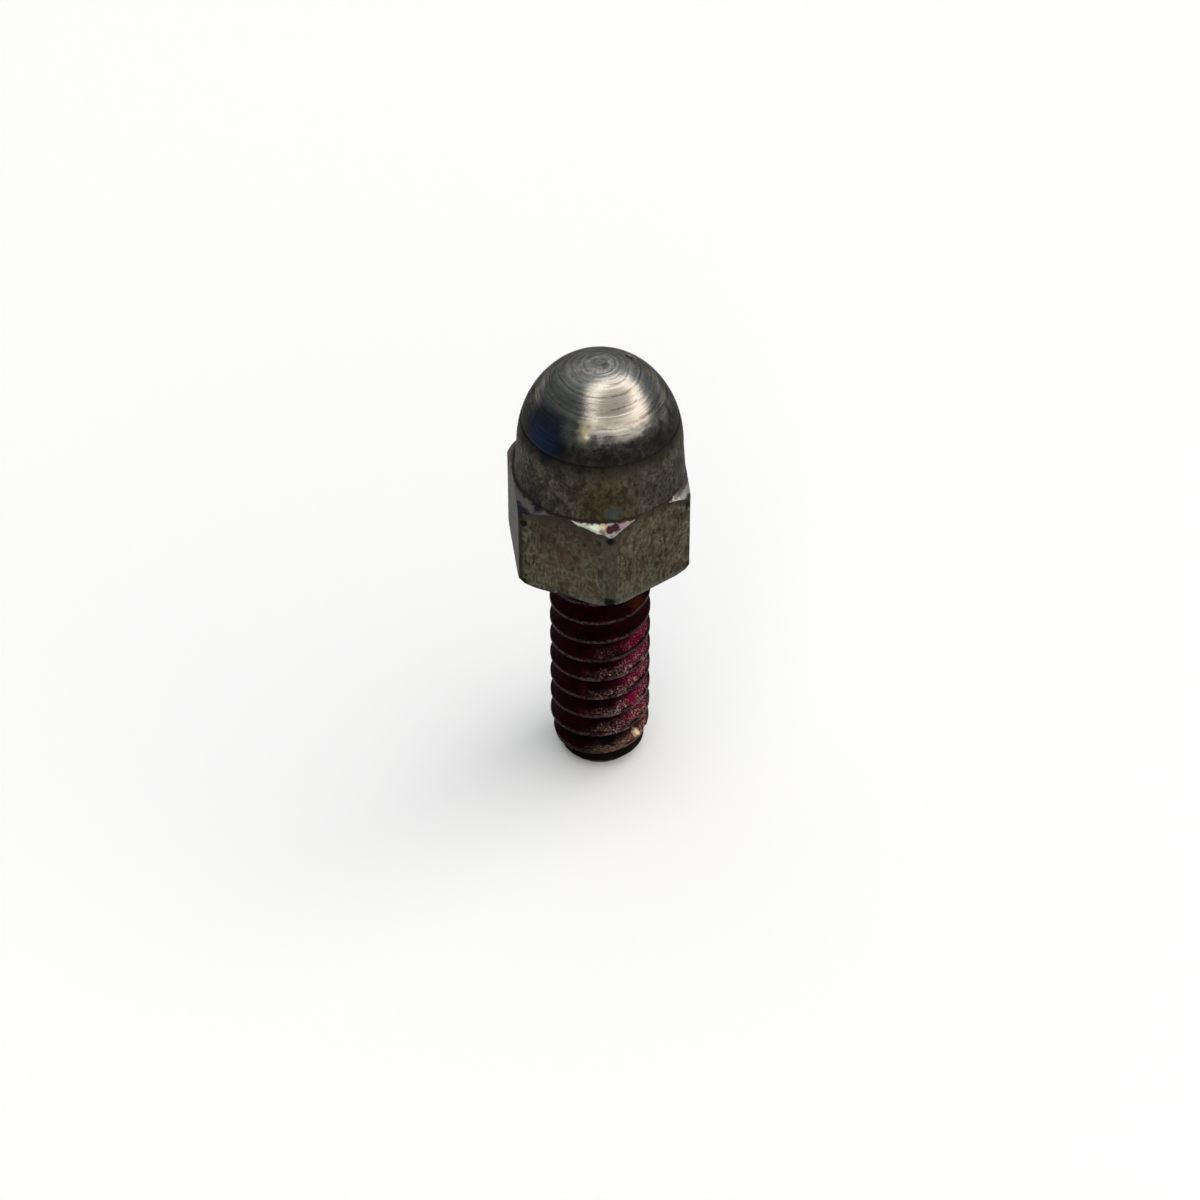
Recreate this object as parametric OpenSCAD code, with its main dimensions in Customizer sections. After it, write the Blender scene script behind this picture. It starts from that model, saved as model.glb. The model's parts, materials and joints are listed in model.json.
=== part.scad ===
// Footrest bolt: a domed nose, a hexagonal collar and a stud, turned from one hexagonal steel bar.
// The bolt stands on the end of its stud: Z = 0 is that end face, and Z is the bolt's axis.
// The stud is drawn at the major diameter of its thread, which is the size that a hole for it sees.

/* [Stud] */
// Major diameter of the stud
stud_d = 6; // [5:0.25:8]
// Length of the stud, from its end face to the underside of the hexagon
stud_len = 15.85; // [10:0.05:30]
// Length of the tapered lead above the end chamfer
lead_len = 1.6; // [0.5:0.1:3]
// How much the tapered lead takes off the diameter where it meets the end chamfer
lead_drop = 0.7; // [0.2:0.1:1.2]
// Height of the end chamfer
end_chamfer_h = 0.75; // [0.3:0.05:1.2]
// How much the end chamfer takes off the radius, down to the flat end face
end_chamfer_w = 0.65; // [0.2:0.05:1]

/* [Hexagon] */
// Width of the hexagon across its flats
hex_af = 10; // [10:0.5:14]
// Height of the hexagon, from its underside to the foot of the shoulder
hex_h = 6.05; // [4:0.05:10]
// How much the turned-down corners take off the full width across corners
corner_trim = 0.1; // [0.05:0.05:0.4]
// How far the upper chamfer falls from the foot of the shoulder to a full corner
top_chamfer_drop = 0.72; // [0.3:0.02:1.2]
// How far the lower chamfer rises at a full corner
low_chamfer_rise = 0.2; // [0.1:0.05:0.6]
// How far inside a full corner the lower chamfer starts
low_chamfer_run = 0.45; // [0.2:0.05:0.7]

/* [Nose] */
// How far the shoulder's foot lies inside the flats of the hexagon
foot_inset = 0.03; // [0.03:0.01:0.5]
// Largest diameter of the dome
dome_d = 9.64; // [7:0.02:9.9]
// Height of the widest ring of the dome above the hexagon
dome_base_h = 1.8; // [1:0.1:6]
// Height of the dome above its widest ring
dome_h = 5.8; // [3:0.1:10]
// Height, above the widest ring, of the turned ring where the bright dome ends
ring_h = 1.9; // [1:0.1:2.4]
// Width of the turned ring
ring_w = 0.3; // [0.2:0.05:0.6]
// Depth of the turned ring
ring_depth = 0.05; // [0.02:0.01:0.1]

/* [Hidden] */
// steps along the curve of the bright dome, and along the shoulder under the ring
dome_steps = 40;
shoulder_steps = 10;
$fn = 120;

stud_r = stud_d / 2;
lead_r = stud_r - lead_drop / 2;
end_face_r = lead_r - end_chamfer_w;

hex_z = stud_len;
hex_top_z = hex_z + hex_h;
flat_r = hex_af / 2;
full_corner_r = flat_r / cos(30);
corner_r = full_corner_r - corner_trim / 2;

foot_r = flat_r - foot_inset;
dome_r = dome_d / 2;
dome_z = hex_top_z + dome_base_h;
ring_z = dome_z + ring_h;

// Radius of the dome at a height z, on an ellipse of semi-axes dome_r and dome_h.
function dome_radius(z) = dome_r * sqrt(1 - pow((z - dome_z) / dome_h, 2));

// Angle up the quarter ellipse at which the dome has the height z.
function dome_angle(z) = asin((z - dome_z) / dome_h);

// Points of the quarter ellipse between two angles, in even steps.
function dome_points(from, to, steps) = [
    for (i = [0 : steps])
        let (a = from + (to - from) * i / steps)
            [dome_r * cos(a), dome_z + dome_h * sin(a)]
];

// The stud and the core that carries it up through the hexagon into the nose.
module stud() {
    rotate_extrude()
        polygon([
            [0, 0],
            [end_face_r, 0],
            [lead_r, end_chamfer_h],
            [stud_r, end_chamfer_h + lead_len],
            [stud_r, dome_z],
            [0, dome_z],
        ]);
}

// Turned outline that the hexagon keeps inside: both chamfers and the turned-down corners.
module collar_envelope() {
    top_slope = top_chamfer_drop / (full_corner_r - foot_r);
    low_r = full_corner_r - low_chamfer_run;
    low_slope = low_chamfer_rise / low_chamfer_run;
    rotate_extrude()
        polygon([
            [0, hex_z],
            [low_r, hex_z],
            [corner_r, hex_z + (corner_r - low_r) * low_slope],
            [corner_r, hex_top_z - (corner_r - foot_r) * top_slope],
            [foot_r, hex_top_z],
            [0, hex_top_z],
        ]);
}

// The hexagon, with two of its corners on the Y axis.
module collar() {
    intersection() {
        translate([0, 0, hex_z])
            rotate([0, 0, 30])
                cylinder(r = full_corner_r, h = hex_h, $fn = 6);
        collar_envelope();
    }
}

// The nose: a shoulder that widens to the flats of the hexagon, the turned ring and the dome.
module nose() {
    below_ring = dome_angle(ring_z - ring_w / 2);
    above_ring = dome_angle(ring_z + ring_w / 2);
    rotate_extrude()
        polygon(concat(
            [[0, hex_top_z], [foot_r, hex_top_z]],
            dome_points(0, below_ring, shoulder_steps),
            [[dome_radius(ring_z) - ring_depth, ring_z]],
            dome_points(above_ring, 90, dome_steps)
        ));
}

module footrest_bolt() {
    color("dimgray")
        union() {
            stud();
            collar();
            nose();
        }
}

footrest_bolt();
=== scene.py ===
"""Footrest bolt: one turned and threaded piece of steel, with the finish of each of its surfaces.

The bolt is one piece, so it is one mesh: the nose and hexagon are a stack of rings, the thread is
a profile spun up the stud, and both are closed into one shell. All shape values are millimetres.
"""

import json
import math

import bmesh
import bpy
from mathutils import Matrix, Quaternion, Vector, noise


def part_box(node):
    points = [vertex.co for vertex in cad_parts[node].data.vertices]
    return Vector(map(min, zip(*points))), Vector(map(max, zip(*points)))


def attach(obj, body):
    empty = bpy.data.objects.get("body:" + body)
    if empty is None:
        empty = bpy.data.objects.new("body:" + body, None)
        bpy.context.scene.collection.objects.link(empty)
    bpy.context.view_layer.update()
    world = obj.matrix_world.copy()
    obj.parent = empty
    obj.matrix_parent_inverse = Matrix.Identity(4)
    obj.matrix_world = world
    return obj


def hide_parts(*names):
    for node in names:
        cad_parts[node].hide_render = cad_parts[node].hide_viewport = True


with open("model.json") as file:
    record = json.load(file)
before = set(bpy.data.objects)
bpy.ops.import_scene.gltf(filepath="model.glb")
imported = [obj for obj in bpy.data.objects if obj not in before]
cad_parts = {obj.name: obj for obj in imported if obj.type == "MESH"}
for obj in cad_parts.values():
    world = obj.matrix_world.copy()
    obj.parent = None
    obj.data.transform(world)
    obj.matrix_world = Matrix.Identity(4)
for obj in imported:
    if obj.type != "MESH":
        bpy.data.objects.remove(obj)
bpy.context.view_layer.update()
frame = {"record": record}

MM = 0.001
NODE = "footrest_bolt"
TAU = 2 * math.pi

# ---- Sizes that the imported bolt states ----
high_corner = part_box(NODE)[1] / MM
mounts = {mount["name"]: mount for mount in frame["record"]["mounts"]}
STUD_R = mounts["stud"]["dims"]["r_mm"]
SEAT_Z = mounts["seat_face"]["pos_m"][2] / MM
TOP_Z = high_corner.z
FLAT_R = high_corner.x
TURNED_CORNER_R = high_corner.y

# ---- Hexagon ----
HEX_H = 6.05
HEX_TOP_Z = SEAT_Z + HEX_H
# Half of the angle that one flat takes up.
HALF_FLAT = math.radians(30)
FULL_CORNER_R = FLAT_R / math.cos(HALF_FLAT)
# The radius that rounds each corner from its full width down to the turned one.
CORNER_ROUND = (FULL_CORNER_R - TURNED_CORNER_R) / (1 / math.cos(HALF_FLAT) - 1)
FOOT_INSET = 0.03
FOOT_R = FLAT_R - FOOT_INSET
# The least that is left of a flat outside the shoulder's foot.
FOOT_LEDGE = 0.02
TOP_CHAMFER_DROP = 0.72
TOP_CHAMFER_SLOPE = TOP_CHAMFER_DROP / (FULL_CORNER_R - FOOT_R)
LOW_CHAMFER_W = 0.45
LOW_CHAMFER_H = 0.2
LOW_CHAMFER_R = FULL_CORNER_R - LOW_CHAMFER_W
LOW_CHAMFER_SLOPE = LOW_CHAMFER_H / LOW_CHAMFER_W
EDGE_BREAK = 0.05
UNDERSIDE_R = 3.3
# The bar sat this far off the lathe's axis, so the hexagon is that far off the stud and nose.
BAR_OFFSET = Vector((-0.1, 0.0, 0.0))

# ---- Nose ----
DOME_R = 4.82
SHOULDER_H = 1.8
DOME_Z = HEX_TOP_Z + SHOULDER_H
DOME_H = TOP_Z - DOME_Z
# A sphere of about the dome's size, along which its grooves are spaced.
DOME_ROUND_R = 5.3
# The shallow ring that is cut where the bright part of the dome ends.
RING_Z = DOME_Z + 1.9
RING_W = 0.3
RING_DEPTH = 0.05

# ---- Thread ----
PITCH = 1.507
CREST_FLAT = 0.2
THREAD_DEPTH = 0.86
ROOT_ROUND = 0.16
# One crest of the thread passes this angle at this height.
CREST_ANGLE = math.radians(-97.5)
CREST_Z = 12.246
END_FACE_R = 2.0
LEAD_R = 2.65
END_CHAMFER_H = 0.75
LEAD_TOP_Z = 2.35
RUN_OUT_H = 1.1
NECK_R = 2.78
# Radius and height of each ring of the sawn end, which is slightly hollow.
END_RINGS = [(1.7, 0.0), (1.2, 0.02), (0.6, 0.05), (0.0, 0.05)]

# ---- Wear: a depth, then the size of its lumps or its reach ----
FLAT_WAVES = (0.006, 1.1)
FLAT_RIPPLES = (0.003, 0.35)
LOW_EDGE_WEAR = (0.012, 0.5)
SHOULDER_WEAR = (0.004, 0.6)
CREST_WEAR = (0.006, 0.5)
RESIDUE = (0.06, 0.3)
RESIDUE_GRAIN = (0.02, 0.12)
# The lower corners' wear: its depth, and how far from a sharp corner it starts and is whole.
LOW_CORNER_WEAR = (0.14, 0.18, 0.04)
# A blow has raised a burr on one corner's chamfer, and left a nick high on the dome.
BURR_ANGLE = math.radians(151)
BURR_SPREAD = math.radians(15)
BURR_RISE = 0.34
# Its place is in degrees, radius and height.
DOME_NICK_PLACE = (31, 2.2, 28.87)
DOME_NICK_R = 0.5
DOME_NICK_DEPTH = 0.2
# Nicks in the crests: angle in degrees, height, radius and depth.
NICKS = [
    (-27, 1.95, 0.45, 0.16),
    (-62, 0.35, 0.40, 0.12),
    (-20, 2.9, 0.30, 0.10),
    (-40, 7.0, 0.28, 0.12),
    (-101, 3.35, 0.35, 0.10),
    (60, 5.5, 0.40, 0.12),
    (150, 9.1, 0.35, 0.10),
]
# The lathe's grooves on the dome: their spacing, and the depth of the even and the uneven ones.
GROOVE_PITCH = 0.27
GROOVE_DEPTH = 0.0016
DEEP_GROOVE = 0.004
GROOVE_TILT = 0.02

# ---- Mesh density ----
COLUMNS = 216
CORNER_CROWDING = 0.75
THREAD_COLUMNS = 180
FLANK_STEPS = 7
FLAT_RINGS = 26
CHAMFER_RINGS = 6
SHOULDER_RINGS = 30
DOME_RINGS = 112
# Vertices closer than this are one, on the nose and end, and on the coarser thread.
WELD = 1e-4
THREAD_WELD = 1e-3
SHARP_ANGLE = math.radians(30)

FINISHES = ["flats", "chamfer", "shoulder", "dome", "thread", "end"]
FLATS, CHAMFER, SHOULDER, DOME, THREAD, END = range(len(FINISHES))


def smooth_step(low, high, value):
    """0 below low, 1 above high, and an even curve between them."""
    t = min(max((value - low) / (high - low), 0.0), 1.0)
    return t * t * (3 - 2 * t)


def mix(a, b, share):
    """The value that lies a share of the way from a to b."""
    return a + (b - a) * share


def rough(x, y, z, size):
    """Smooth noise from -1 to 1 whose lumps are about size millimetres across."""
    return noise.noise(Vector((x, y, z)) / size)


def uneven(x, y, z, wear):
    """Depth of a worn layer at a place: its mean depth, made uneven by lumps of its size."""
    depth, size = wear
    return depth * (1 + rough(x, y, z, size))


def around(angle, radius, height, centre=Vector((0, 0, 0))):
    """The point at an angle and radius round a centre line."""
    return centre + Vector((radius * math.cos(angle), radius * math.sin(angle), height))


def at(degrees, radius, height):
    """A point on the bolt in millimetres, by its angle, distance from the axis and height."""
    return around(math.radians(degrees), radius, height)


# ---- The hexagon's outline ----
def from_corner(angle):
    """Angle to the nearest corner of the hexagon. Two corners lie on the Y axis."""
    sixth = TAU / 6
    return (angle + TAU / 4 + sixth / 2) % sixth - sixth / 2


def hex_radius(angle):
    """Radius of the hexagon's outline with its rounded corners."""
    off = abs(from_corner(angle))
    centre = (FLAT_R - CORNER_ROUND) / math.cos(HALF_FLAT)
    sideways, outward = CORNER_ROUND * math.sin(HALF_FLAT), CORNER_ROUND * math.cos(HALF_FLAT)
    if off < math.atan2(sideways, centre + outward):
        return centre * math.cos(off) + math.sqrt(CORNER_ROUND**2 - (centre * math.sin(off)) ** 2)
    return FLAT_R / math.cos(HALF_FLAT - off)


def hex_reach(angle):
    """Distance from the bolt's axis to the off-centre hexagon's outline."""
    return around(angle, hex_radius(angle), 0, BAR_OFFSET).xy.length


def foot_radius(angle):
    """Radius of the shoulder's foot, which a flat cuts where the bar sat too near the axis."""
    return min(FOOT_R, hex_reach(angle) - FOOT_LEDGE)


def chamfer_z(radius):
    """Height of the cone that cuts the top corners of the hexagon."""
    return HEX_TOP_Z - max(radius - FOOT_R, 0) * TOP_CHAMFER_SLOPE


def low_edge_z(radius):
    """Height of the lower end of the flats, where the lower chamfer cuts the corners."""
    deepest, start, full = LOW_CORNER_WEAR
    worn_and_painted_lit = deepest * smooth_step(FULL_CORNER_R - start, FULL_CORNER_R - full, radius)
    return SEAT_Z + EDGE_BREAK + worn_and_painted_lit + max(0.0, radius - LOW_CHAMFER_R) * LOW_CHAMFER_SLOPE


# ---- Rings of the nose and hexagon ----
def next_ring(mesh, edges, shape, finish):
    """Extrudes the open edge of the shell to a new ring, and gives the new band a finish.
    The layer named turn holds each column's angle, which the new vertices take over."""
    turn = mesh.verts.layers.float["turn"]
    made = bmesh.ops.extrude_edge_only(mesh, edges=edges)["geom"]
    for part in made:
        if isinstance(part, bmesh.types.BMVert):
            part.co = shape(part[turn])
        elif isinstance(part, bmesh.types.BMFace):
            part.material_index = finish
    return [part for part in made if isinstance(part, bmesh.types.BMEdge) and part.is_boundary]


def flat_wear(angle, height):
    """Depth that handling has taken off a flat: shallow waves, deeper at its lower edge."""
    x, y = FLAT_R * math.cos(angle), FLAT_R * math.sin(angle)
    waves = uneven(x, y, height, FLAT_WAVES) + uneven(x, y, height, FLAT_RIPPLES)
    deepest, reach = LOW_EDGE_WEAR
    return waves + deepest * smooth_step(reach, 0.0, height - SEAT_Z)


def low_ring(angle):
    """The outer edge of the hexagon's underside."""
    return around(angle, min(hex_radius(angle), LOW_CHAMFER_R) - EDGE_BREAK, SEAT_Z, BAR_OFFSET)


def flat_ring(share):
    """A ring round the flats, from their lower end at 0 to the top chamfer at 1."""

    def shape(angle):
        radius = hex_radius(angle)
        height = mix(low_edge_z(radius), chamfer_z(hex_reach(angle)), share)
        away = smooth_step(0, 0.1, min(share, 1 - share))
        return around(angle, radius - flat_wear(angle, height) * away, height, BAR_OFFSET)

    return shape


def chamfer_ring(share):
    """A ring on the top chamfer, from the flats at 0 to the foot of the shoulder at 1."""

    def shape(angle):
        edge = around(angle, hex_radius(angle), 0, BAR_OFFSET)
        point = edge.lerp(around(angle, foot_radius(angle), 0), share)
        beside = smooth_step(BURR_SPREAD, BURR_SPREAD * 0.4, abs(angle - BURR_ANGLE))
        rise = BURR_RISE * beside * smooth_step(0, 0.3, share) * smooth_step(1, 0.75, share)
        point.z = chamfer_z(point.xy.length) + rise
        return point

    return shape


def dome_ring(lift, depth):
    """A ring at an angle up the quarter ellipse, sunk below it by a depth."""

    def shape(angle):
        across, along = DOME_R * math.cos(lift), DOME_H * math.sin(lift)
        slope = Vector((across / DOME_R**2, along / DOME_H**2)).normalized()
        cut = depth(angle, across, DOME_Z + along)
        return around(angle, max(across - cut * slope.x, 0.0), DOME_Z + along - cut * slope.y)

    return shape


def shoulder_ring(share, lift_end):
    """The shoulder widens from the dome's ellipse to its foot on the hexagon."""

    def shape(angle):
        wear = uneven(5 * math.cos(angle), 5 * math.sin(angle), share * 3, SHOULDER_WEAR)
        if share < 0.5:
            radius = mix(foot_radius(angle), DOME_R, share * 2) - wear * smooth_step(0, 0.1, share)
            return around(angle, radius, mix(HEX_TOP_Z, DOME_Z, share * 2))
        lift = mix(0, lift_end, share * 2 - 1)
        return around(angle, DOME_R * math.cos(lift) - wear, DOME_Z + DOME_H * math.sin(lift))

    return shape


def turning_marks(angle, across, height):
    """Depth of the lathe's grooves on the dome, each at its own height."""
    travel = math.atan2(height - DOME_Z, across) * DOME_ROUND_R
    travel += GROOVE_TILT * math.sin(angle + 1)
    marks = GROOVE_DEPTH * (1 + math.sin(TAU * travel / GROOVE_PITCH))
    marks += GROOVE_DEPTH * (1 + noise.noise(Vector((travel / 0.16, 3, 0))))
    marks += DEEP_GROOVE * max(0.0, noise.noise(Vector((travel / 0.3, 9, 0))) - 0.1)
    away = (around(angle, across, height) - at(*DOME_NICK_PLACE)).length
    return marks + DOME_NICK_DEPTH * smooth_step(DOME_NICK_R, 0.1, away)


def build_nose(mesh):
    """The hexagon and nose, from the underside of the hexagon up to the pole of the dome."""
    lift_ring = math.asin((RING_Z - DOME_Z) / DOME_H)
    half_ring = RING_W / 2 / DOME_H
    turn = mesh.verts.layers.float.new("turn")
    for vert in bmesh.ops.create_circle(mesh, segments=COLUMNS, radius=UNDERSIDE_R)["verts"]:
        angle = math.atan2(vert.co.y, vert.co.x)
        # The columns crowd at the hexagon's corners.
        vert[turn] = angle - CORNER_CROWDING * math.sin(6 * from_corner(angle)) / 6
        vert.co = around(vert[turn], UNDERSIDE_R, SEAT_Z)
    edges = next_ring(mesh, mesh.edges[:], low_ring, FLATS)
    for step in range(FLAT_RINGS + 1):
        edges = next_ring(mesh, edges, flat_ring(step / FLAT_RINGS), FLATS)
    for step in range(1, CHAMFER_RINGS + 1):
        edges = next_ring(mesh, edges, chamfer_ring(step / CHAMFER_RINGS), CHAMFER)
    for step in range(1, SHOULDER_RINGS + 1):
        shape = shoulder_ring(step / SHOULDER_RINGS, lift_ring - half_ring)
        edges = next_ring(mesh, edges, shape, SHOULDER)
    edges = next_ring(mesh, edges, dome_ring(lift_ring, lambda *place: RING_DEPTH), SHOULDER)
    for step in range(DOME_RINGS):
        lift = mix(lift_ring + half_ring, math.pi / 2, step / DOME_RINGS)
        edges = next_ring(mesh, edges, dome_ring(lift, turning_marks), DOME)
    next_ring(mesh, edges, lambda angle: Vector((0, 0, TOP_Z)), DOME)
    bmesh.ops.remove_doubles(mesh, verts=mesh.verts[:], dist=WELD)


# ---- Thread ----
def thread_profile():
    """Radius and height of one pitch of the thread, from the middle of one crest to the next."""
    flank_run = (PITCH - CREST_FLAT - ROOT_ROUND) / 2
    profile = [(STUD_R, 0.0), (STUD_R, CREST_FLAT / 2)]
    for step in range(1, FLANK_STEPS + 1):
        share = step / FLANK_STEPS
        profile.append((STUD_R - THREAD_DEPTH * share, CREST_FLAT / 2 + flank_run * share))
    profile.append((STUD_R - THREAD_DEPTH - 0.02, PITCH / 2))
    rising = [(radius, PITCH - height) for radius, height in reversed(profile[:-1])]
    return profile + rising


def stud_envelope(height):
    """Largest radius that the lead and the end chamfer leave at a height."""
    if height < END_CHAMFER_H:
        return mix(END_FACE_R, LEAD_R, max(height, 0) / END_CHAMFER_H)
    return mix(LEAD_R, STUD_R, min((height - END_CHAMFER_H) / (LEAD_TOP_Z - END_CHAMFER_H), 1.0))


def stud_floor(height):
    """Smallest radius that the run-out under the hexagon leaves at a height."""
    root = STUD_R - THREAD_DEPTH - 0.1
    return mix(root, NECK_R, smooth_step(SEAT_Z - RUN_OUT_H, SEAT_Z - 0.1, height))


def nick_depth(x, y, z):
    """How deep the nicks in the crests go at a place."""
    depth = 0.0
    for degrees, height, radius, deepest in NICKS:
        away = (Vector((x, y, z)) - at(degrees, STUD_R, height)).length
        depth = max(depth, deepest * smooth_step(radius, radius * 0.3, away))
    return depth


def wear_thread(vert):
    """Keeps a vertex inside the lead and the run-out, and wears and fouls the thread there."""
    x, y, z = vert.co
    angle = math.atan2(y, x)
    radius = math.hypot(x, y)
    crest = smooth_step(STUD_R - 0.35, STUD_R, radius)
    root = 1 - smooth_step(STUD_R - THREAD_DEPTH, STUD_R - 0.3, radius)
    radius -= crest * (uneven(x, y, z, CREST_WEAR) + nick_depth(x, y, z))
    # Dried thread-locker lies in lumps in the roots, less of it towards the end of the stud.
    grain_depth, grain_size = RESIDUE_GRAIN
    residue = uneven(x, y, z, RESIDUE) + grain_depth * rough(x, y, z, grain_size)
    radius += root * residue * smooth_step(1.5, 6.0, z)
    radius = min(max(radius, stud_floor(z)), stud_envelope(z))
    vert.co.x, vert.co.y = radius * math.cos(angle), radius * math.sin(angle)


def build_thread(mesh):
    """The threaded stud: one pitch of profile spun up the axis, then cut at both ends."""
    profile = thread_profile()
    start = Vector((math.cos(CREST_ANGLE), math.sin(CREST_ANGLE), 0))
    first_z = CREST_Z - PITCH * math.ceil((CREST_Z + PITCH) / PITCH)
    verts = [
        mesh.verts.new(start * radius + Vector((0, 0, first_z + height)))
        for radius, height in profile
    ]
    edges = [mesh.edges.new(pair) for pair in zip(verts, verts[1:])]
    bmesh.ops.spin(
        mesh,
        geom=verts + edges,
        cent=(0, 0, 0),
        axis=(0, 0, 1),
        dvec=(0, 0, PITCH / THREAD_COLUMNS),
        angle=TAU,
        steps=THREAD_COLUMNS,
    )
    one_turn = mesh.verts[:] + mesh.edges[:] + mesh.faces[:]
    for turn in range(1, math.ceil((SEAT_Z - first_z) / PITCH)):
        made = bmesh.ops.duplicate(mesh, geom=one_turn)["geom"]
        moved = [part for part in made if isinstance(part, bmesh.types.BMVert)]
        bmesh.ops.translate(mesh, verts=moved, vec=(0, 0, PITCH * turn))
    bmesh.ops.remove_doubles(mesh, verts=mesh.verts[:], dist=THREAD_WELD)
    for vert in mesh.verts:
        wear_thread(vert)
    for height, outward in ((0.0, -1), (SEAT_Z, 1)):
        bmesh.ops.bisect_plane(
            mesh,
            geom=mesh.verts[:] + mesh.edges[:] + mesh.faces[:],
            dist=WELD,
            plane_co=(0, 0, height),
            plane_no=(0, 0, outward),
            clear_outer=True,
        )
    bmesh.ops.remove_doubles(mesh, verts=mesh.verts[:], dist=THREAD_WELD)
    for face in mesh.faces:
        face.material_index = THREAD


def build_end(mesh):
    """The sawn end face, from the end chamfer's edge in to its middle."""
    turn = mesh.verts.layers.float.new("turn")
    edges = [e for e in mesh.edges if e.is_boundary and max(v.co.z for v in e.verts) < 0.01]
    for vert in {vert for edge in edges for vert in edge.verts}:
        vert[turn] = math.atan2(vert.co.y, vert.co.x)
    for radius, height in END_RINGS:
        edges = next_ring(mesh, edges, lambda angle: around(angle, radius, height), END)
    bmesh.ops.remove_doubles(mesh, verts=mesh.verts[:], dist=WELD)


def close_seat(mesh):
    """Fills the underside of the hexagon between its inner ring and the top of the stud."""
    edges = [e for e in mesh.edges if e.is_boundary]
    made = bmesh.ops.triangle_fill(mesh, edges=edges, use_beauty=True)["geom"]
    for face in made:
        if isinstance(face, bmesh.types.BMFace):
            face.material_index = FLATS


def build_bolt(materials):
    """The whole bolt as one closed mesh in metres."""
    mesh = bmesh.new()
    build_thread(mesh)
    build_end(mesh)
    nose = bmesh.new()
    build_nose(nose)
    spare = bpy.data.meshes.new("nose")
    nose.to_mesh(spare)
    nose.free()
    mesh.from_mesh(spare)
    bpy.data.meshes.remove(spare)
    close_seat(mesh)
    bmesh.ops.recalc_face_normals(mesh, faces=mesh.faces[:])
    bmesh.ops.transform(mesh, matrix=Matrix.Scale(MM, 4), verts=mesh.verts[:])
    mesh.verts.layers.float.remove(mesh.verts.layers.float["turn"])
    data = bpy.data.meshes.new("bolt")
    mesh.to_mesh(data)
    mesh.free()
    for finish in FINISHES:
        data.materials.append(materials[finish])
    data.shade_smooth()
    data.set_sharp_from_angle(angle=SHARP_ANGLE)
    bolt = bpy.data.objects.new("bolt", data)
    bpy.context.scene.collection.objects.link(bolt)
    return bolt


# ---- Materials ----
def linear(code):
    """An sRGB hex colour as linear RGBA."""
    parts = [int(code[i : i + 2], 16) / 255 for i in (1, 3, 5)]
    return tuple(p / 12.92 if p <= 0.04045 else ((p + 0.055) / 1.055) ** 2.4 for p in parts) + (1,)


# A share eases in and out between its two limits.
SMOOTH = {"interpolation_type": "SMOOTHSTEP"}


def add(tree, kind, inputs=None, **settings):
    """Adds a node with its settings, and links or sets its inputs."""
    made = tree.nodes.new(kind)
    for name, value in settings.items():
        setattr(made, name, value)
    for key, value in (inputs or {}).items():
        if isinstance(value, bpy.types.NodeSocket):
            tree.links.new(value, made.inputs[key])
        else:
            made.inputs[key].default_value = value
    return made


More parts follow.
